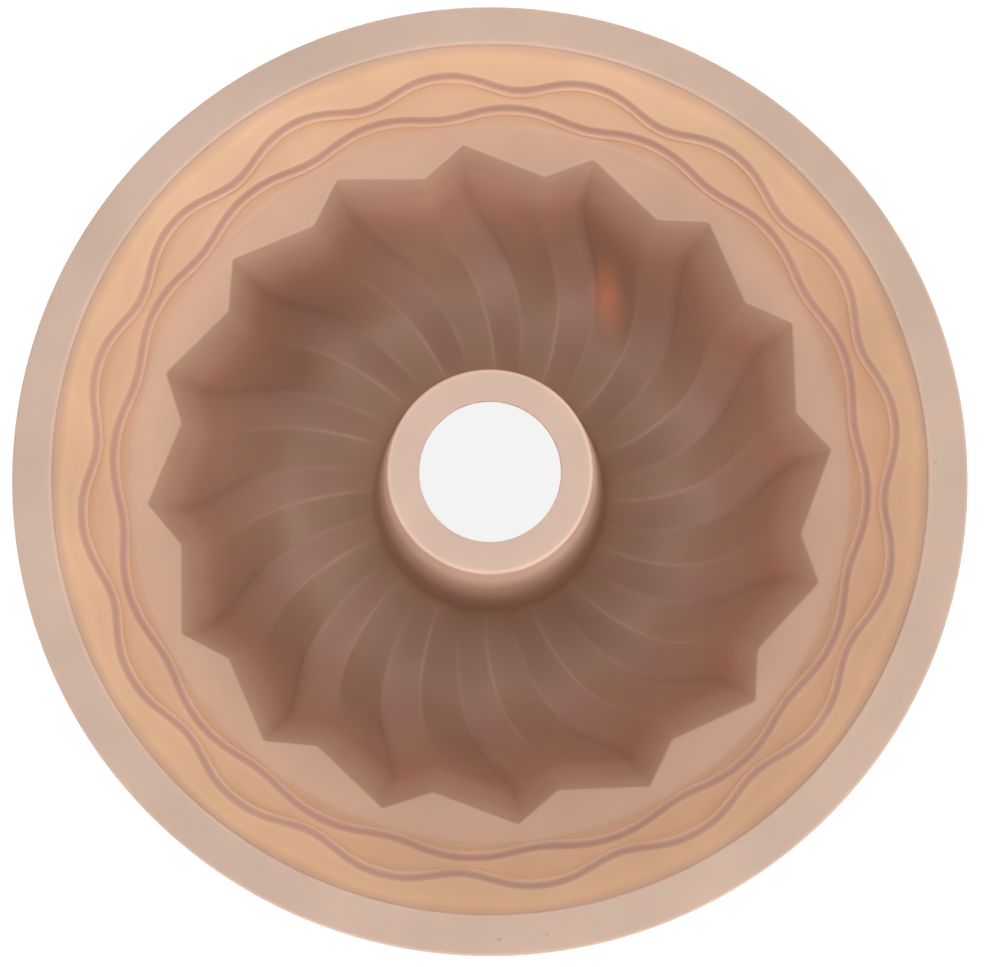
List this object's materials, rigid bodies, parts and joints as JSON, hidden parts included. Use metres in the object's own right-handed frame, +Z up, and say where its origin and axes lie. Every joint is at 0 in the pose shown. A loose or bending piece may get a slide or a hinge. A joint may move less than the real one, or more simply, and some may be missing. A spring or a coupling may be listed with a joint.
{
  "type": "ring cake pan",
  "caption": "Round flexible ring cake pan with a flat rim, two wavy ribs round a flared band, a star-shaped ledge, swirled flutes and a hollow centre tube.",
  "frame": {"origin": "on the pan's axis, level with the lowest points of the fluted underside", "axes": "+Z up along the tube's axis, out of the pan's mouth; +X to the right and +Y to the back as the pan is seen from the front"},
  "size_m": [0.26, 0.26, 0.0878],
  "materials": {
    "silicone": "satin"
  },
  "bodies": {
    "root": {"cake_pan": "silicone"}
  },
  "joints": []
}
